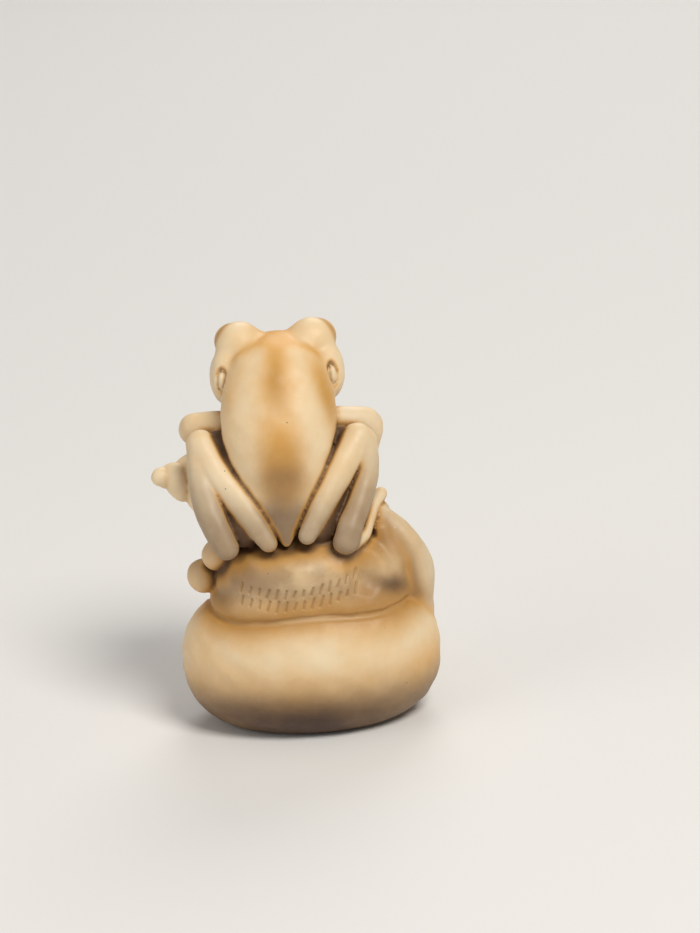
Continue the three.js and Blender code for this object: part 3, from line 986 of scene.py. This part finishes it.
class Nodes:
    """Short ways to add and join the nodes of one tree."""

    def __init__(self, tree):
        self.tree = tree

    def add(self, kind, values=None, **settings):
        node = self.tree.nodes.new(kind)
        for key, value in settings.items():
            setattr(node, key, value)
        for key, value in (values or {}).items():
            self.set(node.inputs[key], value)
        return node

    def set(self, socket, value):
        if isinstance(value, bpy.types.NodeSocket):
            self.tree.links.new(value, socket)
        else:
            socket.default_value = value

    def math(self, operation, a, b=0.0, clamp=False):
        node = self.add("ShaderNodeMath", {0: a, 1: b}, operation=operation, use_clamp=clamp)
        return node.outputs[0]

    def noise(self, place, scale, detail=3.0, roughness=0.55):
        values = {"Vector": place, "Scale": scale, "Detail": detail, "Roughness": roughness}
        return self.add("ShaderNodeTexNoise", values).outputs["Fac"]

    def ramp(self, value, low, high):
        node = self.add("ShaderNodeMapRange", {"Value": value, "From Min": low, "From Max": high})
        node.interpolation_type = "SMOOTHSTEP"
        return node.outputs["Result"]

    def mix(self, amount, a, b):
        node = self.add("ShaderNodeMix", data_type="RGBA")
        self.set(node.inputs[0], amount)
        self.set(node.inputs[6], a)
        self.set(node.inputs[7], b)
        return node.outputs[2]

    def vector(self, x=0.0, y=0.0, z=0.0):
        return self.add("ShaderNodeCombineXYZ", {"X": x, "Y": y, "Z": z}).outputs[0]

    def attribute(self, name):
        return self.add("ShaderNodeAttribute", attribute_name=name).outputs["Fac"]

    def place(self, group_tree, values):
        node = self.add("ShaderNodeGroup")
        node.node_tree = group_tree
        for key, value in values.items():
            self.set(node.inputs[key], value)
        return node.outputs


def mottling_group():
    """Cloudy changes from one resin tone to a paler one."""
    tree, start, end = group(
        "Resin mottling",
        [
            ("Place", VECTOR, (0, 0, 0)), ("Tone", COLOUR, (1, 1, 1, 1)), ("Pale", COLOUR, (1, 1, 1, 1)),
            ("Scale", FLOAT, 300.0),
        ],
        [("Color", COLOUR)],
    )
    n = Nodes(tree)
    cloud = n.noise(start["Place"], start["Scale"], 4.0)
    amount = n.ramp(cloud, 0.36, 0.66)
    n.set(end["Color"], n.mix(amount, start["Tone"], start["Pale"]))
    return tree


def broken_mask_group():
    """A soft painted mask whose edge wanders a little and whose middle is uneven."""
    tree, start, end = group(
        "Broken paint",
        [("Place", VECTOR, (0, 0, 0)), ("Mask", FLOAT, 0.0), ("Scale", FLOAT, 900.0), ("Wander", FLOAT, 0.2)],
        [("Mask", FLOAT)],
    )
    n = Nodes(tree)
    cloud = n.math("SUBTRACT", n.noise(start["Place"], start["Scale"], 5.0), 0.5)
    moved = n.math("MULTIPLY", cloud, start["Wander"])
    inside = n.math("MULTIPLY", moved, n.ramp(start["Mask"], 0.0, 0.3))
    n.set(end["Mask"], n.math("ADD", start["Mask"], inside, True))
    return tree


def speck_group():
    """Scattered tiny dots, as of dust in the paint and pinholes in the casting."""
    tree, start, end = group(
        "Specks",
        [
            ("Place", VECTOR, (0, 0, 0)), ("Scale", FLOAT, 900.0), ("Size", FLOAT, 0.07),
            ("Amount", FLOAT, 0.05),
        ],
        [("Mask", FLOAT)],
    )
    n = Nodes(tree)
    cells = n.add("ShaderNodeTexVoronoi", {"Vector": start["Place"], "Scale": start["Scale"]})
    chance = n.add("ShaderNodeSeparateColor", {0: cells.outputs["Color"]}).outputs[0]
    chosen = n.math("LESS_THAN", chance, start["Amount"])
    dot = n.math("LESS_THAN", cells.outputs["Distance"], start["Size"])
    n.set(end["Mask"], n.math("MULTIPLY", chosen, dot))
    return tree


def resin_material(finish):
    """Ivory resin with stain that has run into the grooves, soft painted patches, painted shade and
    highlights, specks and a fine grain.
    """
    material = bpy.data.materials.new("stained ivory resin")
    material.use_nodes = True
    tree = material.node_tree
    tree.nodes.clear()
    n = Nodes(tree)
    place = n.add("ShaderNodeTexCoord").outputs["Object"]
    mottling = mottling_group()
    broken = broken_mask_group()
    specks = speck_group()

    def solid_colour(value):
        return (*value, 1.0)

    def broken_mask(name, scale, wander):
        values = {"Place": place, "Mask": n.attribute(name), "Scale": scale, "Wander": wander}
        return n.place(broken, values)["Mask"]

    frog = n.place(mottling, {
        "Place": place, "Tone": solid_colour(finish.ivory), "Pale": solid_colour(finish.pale), "Scale": 260.0,
    })["Color"]
    ground = n.place(mottling, {
        "Place": place, "Tone": solid_colour(finish.sand), "Pale": solid_colour(finish.ivory), "Scale": 420.0,
    })["Color"]
    resin = n.mix(n.attribute("mound"), frog, ground)

    def cover(under, mask, paint, strength):
        return n.mix(n.math("MULTIPLY", mask, strength, True), under, solid_colour(paint))

    coat = resin
    for name, scale, wander, strength in PAINT_LAYERS:
        coat = cover(coat, broken_mask(name, scale, wander), getattr(finish, name), strength)
    wash = broken_mask("wash", 1000.0, 0.14)
    coat = cover(coat, n.ramp(wash, 0.05, 0.6), finish.orange, 0.62 * finish.stain)
    coat = cover(coat, n.ramp(wash, 0.25, 0.85), finish.brown, 0.85 * finish.stain)
    deep = n.ramp(wash, 0.5, 1.0)
    coat = cover(coat, deep, finish.umber, 0.92 * finish.stain)
    coat = cover(coat, n.attribute("stroke"), finish.brown, 0.45)
    # The pale layer lays the beads, the painted highlight along the mound's foot and the painted light on the
    # shell.
    stained = cover(coat, n.attribute("pale"), finish.pale, 0.6)

    dark = n.place(specks, {"Place": place, "Scale": 1700.0, "Size": 0.09, "Amount": 0.06})["Mask"]
    light = n.place(specks, {"Place": place, "Scale": 1900.0, "Size": 0.09, "Amount": 0.02})["Mask"]
    dusty = cover(stained, dark, finish.umber, 0.6)
    final = cover(dusty, light, (0.95, 0.9, 0.8), 0.5)

    grain = n.noise(place, 6500.0, 4.0, 0.6)
    pores = n.noise(place, 2200.0, 3.0)
    height = n.math("ADD", n.math("MULTIPLY", grain, 0.35), pores)
    bump = n.add("ShaderNodeBump", {"Height": height, "Strength": 0.22, "Distance": 0.00006})
    uneven = n.math("ADD", n.math("MULTIPLY", pores, 0.16), finish.roughness - 0.08)
    rough = n.math("ADD", n.math("MULTIPLY", deep, 0.12), uneven)

    surface = n.add("ShaderNodeBsdfPrincipled", {
        "Base Color": final, "Roughness": rough, "Normal": bump.outputs["Normal"], "IOR": 1.5,
        "Subsurface Weight": 0.18, "Subsurface Radius": (1.0, 0.55, 0.3), "Subsurface Scale": 0.0006,
    })
    output = n.add("ShaderNodeOutputMaterial")
    tree.links.new(surface.outputs["BSDF"], output.inputs["Surface"])
    return material


# Rows of shallow strokes, as a geometry node tree

def strokes_tree():
    """Presses two rows of short slanted strokes into the mound and marks them with an attribute."""
    tree = bpy.data.node_groups.new("Pressed strokes", "GeometryNodeTree")
    interface = tree.interface
    interface.new_socket("Geometry", in_out="INPUT", socket_type="NodeSocketGeometry")
    defaults = {"Tall": 0.0006, "Wide": 0.00028, "Deep": 0.0001, "Row gap": 0.00078, "Back plane": -0.007}
    for label, value in defaults.items():
        interface.new_socket(label, in_out="INPUT", socket_type=FLOAT).default_value = value
    interface.new_socket("Count", in_out="INPUT", socket_type="NodeSocketInt").default_value = 14
    for label in ("Row start", "Row middle", "Row end"):
        interface.new_socket(label, in_out="INPUT", socket_type=VECTOR)
    interface.new_socket("Material", in_out="INPUT", socket_type="NodeSocketMaterial")
    interface.new_socket("Geometry", in_out="OUTPUT", socket_type="NodeSocketGeometry")
    n = Nodes(tree)
    start = n.add("NodeGroupInput").outputs
    end = n.add("NodeGroupOutput")

    path = n.add("GeometryNodeCurveQuadraticBezier", {
        "Resolution": 32, "Start": start["Row start"], "Middle": start["Row middle"], "End": start["Row end"],
    }).outputs[0]
    posts = n.add("GeometryNodeCurveToPoints", {"Curve": path, "Count": start["Count"]}, mode="COUNT")
    half = n.math("MULTIPLY", start["Tall"], 0.5)
    foot = n.vector(z=n.math("MULTIPLY", half, -1.0))
    tip = n.vector(z=half)
    line = n.add("GeometryNodeCurvePrimitiveLine", {"Start": foot, "End": tip}).outputs[0]
    step = n.add("GeometryNodeInputIndex").outputs[0]

    def wave(rate, size, middle):
        swing = n.math("MULTIPLY", n.math("SINE", n.math("MULTIPLY", step, rate)), size)
        return n.math("ADD", swing, middle)

    slant = n.vector(y=wave(2.4, 0.1, 0.32))
    stretch = n.vector(1.0, 1.0, wave(5.1, 0.22, 0.85))
    row = n.add("GeometryNodeInstanceOnPoints", {
        "Points": posts.outputs["Points"], "Instance": line, "Rotation": slant, "Scale": stretch,
    })
    higher = n.vector(z=start["Row gap"])
    upper = n.add("GeometryNodeTransform", {"Geometry": row.outputs[0], "Translation": higher}).outputs[0]
    rows = n.add("GeometryNodeJoinGeometry")
    tree.links.new(row.outputs[0], rows.inputs[0])
    tree.links.new(upper, rows.inputs[0])
    lines = n.add("GeometryNodeRealizeInstances", {"Geometry": rows.outputs[0]}).outputs[0]
    edges = n.add("GeometryNodeCurveToMesh", {"Curve": lines}).outputs[0]

    here = n.add("GeometryNodeInputPosition").outputs[0]
    split = n.add("ShaderNodeSeparateXYZ", {0: here}).outputs
    flattened = n.vector(split["X"], start["Back plane"], split["Z"])
    near = n.add("GeometryNodeProximity", target_element="EDGES")
    n.set(near.inputs[0], edges)
    n.set(near.inputs["Sample Position"], flattened)
    halfway = n.math("MULTIPLY", start["Wide"], 0.5)
    edge = n.ramp(near.outputs["Distance"], halfway, 0.0)
    normal = n.add("GeometryNodeInputNormal").outputs[0]
    facing = n.add("ShaderNodeSeparateXYZ", {0: normal}).outputs["Y"]
    behind = n.math("LESS_THAN", facing, -0.25)
    on_back = n.math("LESS_THAN", split["Y"], -0.002)
    mark = n.math("MULTIPLY", edge, n.math("MULTIPLY", behind, on_back))
    sink = n.add("ShaderNodeVectorMath", operation="SCALE")
    n.set(sink.inputs[0], normal)
    n.set(sink.inputs["Scale"], n.math("MULTIPLY", n.math("MULTIPLY", mark, start["Deep"]), -1.0))
    named_stroke = {"Geometry": start["Geometry"], "Name": "stroke"}
    stored = n.add("GeometryNodeStoreNamedAttribute", named_stroke, data_type="FLOAT")
    n.set(stored.inputs["Value"], mark)
    moved = n.add("GeometryNodeSetPosition", {"Geometry": stored.outputs[0], "Offset": sink.outputs[0]})
    real = n.add("GeometryNodeRealizeInstances", {"Geometry": moved.outputs[0]}).outputs[0]
    coated = n.add("GeometryNodeSetMaterial", {"Geometry": real, "Material": start["Material"]}).outputs[0]
    n.set(end.inputs[0], coated)
    return tree


def set_input(modifier, tree, label, value):
    """Sets a modifier's input by the identifier of the socket with this label."""
    for item in tree.interface.items_tree:
        if item.in_out == "INPUT" and item.name == label:
            modifier[item.identifier] = value


# Operators

class FIGURINE_OT_cast(bpy.types.Operator):
    """Cast the figurine: frog, shell, knobs, ridge, mound and base in one piece"""

    bl_idname = "figurine.cast"
    bl_label = "Cast the figurine"

    def execute(self, context):
        sizes = context.scene.figurine_form
        strokes = context.scene.figurine_strokes
        model = Figurine(sizes)
        cell = sizes.cell / MM
        low = np.array(CAD_BOX[0]) / MM - MARGIN
        shape = np.ceil((np.array(CAD_BOX[1]) / MM + MARGIN - low) / cell).astype(int)
        low[2] = -CELLS_BELOW_UNDERSIDE * cell
        values = sampled(model.distance, low, cell, shape + EXTRA_CELLS)
        points, quads = surface_net(values, low, cell)

        def wanted(centre):
            across = STROKE_AREA_X[0] < centre.x < STROKE_AREA_X[1]
            upward = STROKE_AREA_Z[0] < centre.z < STROKE_AREA_Z[1]
            return across and upward and centre.y < STROKE_AREA_FRONT

        mesh = refined(points, quads, wanted, STROKE_CUTS)
        count = len(mesh.vertices)
        points = np.empty(count * 3)
        mesh.vertices.foreach_get("co", points)
        points, normals = settled(model.distance, points.reshape(-1, 3))
        points[:, 2] = np.maximum(points[:, 2], 0.0)
        mesh.vertices.foreach_set("co", (points * MM).ravel())

        for name, values in painted(model, points, normals).items():
            layer = mesh.attributes.new(name, "FLOAT", "POINT")
            layer.data.foreach_set("value", evened(mesh, values).astype(np.float32))
        mesh.name = "figurine_casting"
        mesh.polygons.foreach_set("use_smooth", np.ones(len(mesh.polygons), bool))
        mesh.update()
        draft = bpy.data.objects.new("draft", mesh)
        context.collection.objects.link(draft)

        material = resin_material(context.scene.figurine_finish)
        tree = strokes_tree()
        modifier = draft.modifiers.new("Strokes", "NODES")
        modifier.node_group = tree
        inputs = {
            "Tall": strokes.tall,
            "Wide": strokes.wide,
            "Deep": strokes.deep,
            "Row gap": strokes.row_gap,
            "Count": strokes.count,
            "Back plane": ROW_PLANE * MM,
            "Material": material,
        }
        for label, (x, z) in ROW_POINTS.items():
            inputs[label] = (x * MM, ROW_PLANE * MM, z * MM)
        for label, value in inputs.items():
            set_input(modifier, tree, label, value)
        graph = context.evaluated_depsgraph_get()
        casting_mesh = bpy.data.meshes.new_from_object(draft.evaluated_get(graph))
        casting = bpy.data.objects.new("frog_casting", casting_mesh)
        context.collection.objects.link(casting)
        bpy.data.objects.remove(draft)
        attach(casting, "root")
        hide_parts("frog_figurine")
        return {"FINISHED"}


def area_light(name, place, size, power, tint):
    data = bpy.data.lights.new(name, "AREA")
    data.shape = "DISK"
    data.size = size
    data.energy = power
    data.color = tint
    light = bpy.data.objects.new(name, data)
    toward = Vector(LIT_POINT) - Vector(place)
    light.matrix_world = Matrix.Translation(place) @ toward.to_track_quat("-Z", "Y").to_matrix().to_4x4()
    bpy.context.collection.objects.link(light)


class FIGURINE_OT_studio(bpy.types.Operator):
    """Lay a plain pale floor and set the studio's lights and camera"""

    bl_idname = "figurine.studio"
    bl_label = "Set up the studio"

    def execute(self, context):
        studio = context.scene.figurine_studio
        self.lay_floor(context, studio)
        self.light(context)
        self.place_camera(context, studio)
        return {"FINISHED"}

    def lay_floor(self, context, studio):
        work = bmesh.new()
        bmesh.ops.create_circle(work, cap_ends=True, radius=FLOOR_RADIUS, segments=96)
        mesh = bpy.data.meshes.new("floor")
        work.to_mesh(mesh)
        work.free()
        floor = bpy.data.objects.new("floor", mesh)
        context.collection.objects.link(floor)
        material = bpy.data.materials.new("pale floor")
        material.use_nodes = True
        surface = material.node_tree.nodes["Principled BSDF"]
        surface.inputs["Base Color"].default_value = (*studio.floor_colour, 1.0)
        surface.inputs["Roughness"].default_value = 0.85
        mesh.materials.append(material)

    def light(self, context):
        for name, (place, size, power, tint) in LIGHTS.items():
            area_light(name, place, size, power, tint)
        world = bpy.data.worlds.new("studio")
        world.use_nodes = True
        background = world.node_tree.nodes["Background"]
        background.inputs["Color"].default_value = (1.0, 0.985, 0.965, 1.0)
        background.inputs["Strength"].default_value = 0.26
        context.scene.world = world
        context.scene.view_settings.view_transform = "Standard"

    def place_camera(self, context, studio):
        # The middle of the photograph, 700 by 933 pixels, lies at this point of the figurine's middle plane.
        aim = Vector((3.18, 0.0, 16.4)) * MM
        lean = studio.elevation
        toward = Vector((0.0, math.cos(lean), -math.sin(lean)))
        right = Vector((1.0, 0.0, 0.0))
        upward = right.cross(toward)
        rolled_right = right * math.cos(studio.roll) - upward * math.sin(studio.roll)
        rolled_up = right * math.sin(studio.roll) + upward * math.cos(studio.roll)
        data = bpy.data.cameras.new("camera")
        data.sensor_fit = "VERTICAL"
        data.sensor_height = 24.0
        data.lens = data.sensor_height * studio.camera_distance / studio.picture_height
        data.clip_start = 0.005
        data.clip_end = 20.0
        camera = bpy.data.objects.new("camera", data)
        turn = Matrix((rolled_right, rolled_up, -toward)).transposed().to_4x4()
        camera.matrix_world = Matrix.Translation(aim - toward * studio.camera_distance) @ turn
        context.collection.objects.link(camera)
        context.scene.camera = camera


class FIGURINE_PT_panel(bpy.types.Panel):
    """Sizes, finish and steps of the figurine"""

    bl_idname = "FIGURINE_PT_panel"
    bl_label = "Figurine"
    bl_space_type = "VIEW_3D"
    bl_region_type = "UI"
    bl_category = "Figurine"

    def draw(self, context):
        for settings in (
            context.scene.figurine_form,
            context.scene.figurine_strokes,
            context.scene.figurine_finish,
            context.scene.figurine_studio,
        ):
            box = self.layout.box()
            for name in settings.__annotations__:
                box.prop(settings, name)
        for operator in OPERATORS:
            self.layout.operator(operator.bl_idname)


GROUPS = {
    "figurine_form": FigurineForm,
    "figurine_strokes": FigurineStrokes,
    "figurine_finish": FigurineFinish,
    "figurine_studio": FigurineStudio,
}
OPERATORS = (FIGURINE_OT_cast, FIGURINE_OT_studio)


def register():
    for name, kind in GROUPS.items():
        bpy.utils.register_class(kind)
        setattr(bpy.types.Scene, name, bpy.props.PointerProperty(type=kind))
    for kind in (*OPERATORS, FIGURINE_PT_panel):
        bpy.utils.register_class(kind)


def unregister():
    for kind in (FIGURINE_PT_panel, *reversed(OPERATORS)):
        bpy.utils.unregister_class(kind)
    for name, kind in GROUPS.items():
        delattr(bpy.types.Scene, name)
        bpy.utils.unregister_class(kind)


def main():
    register()
    bpy.ops.figurine.studio()
    bpy.ops.figurine.cast()


if __name__ == "__main__":
    main()
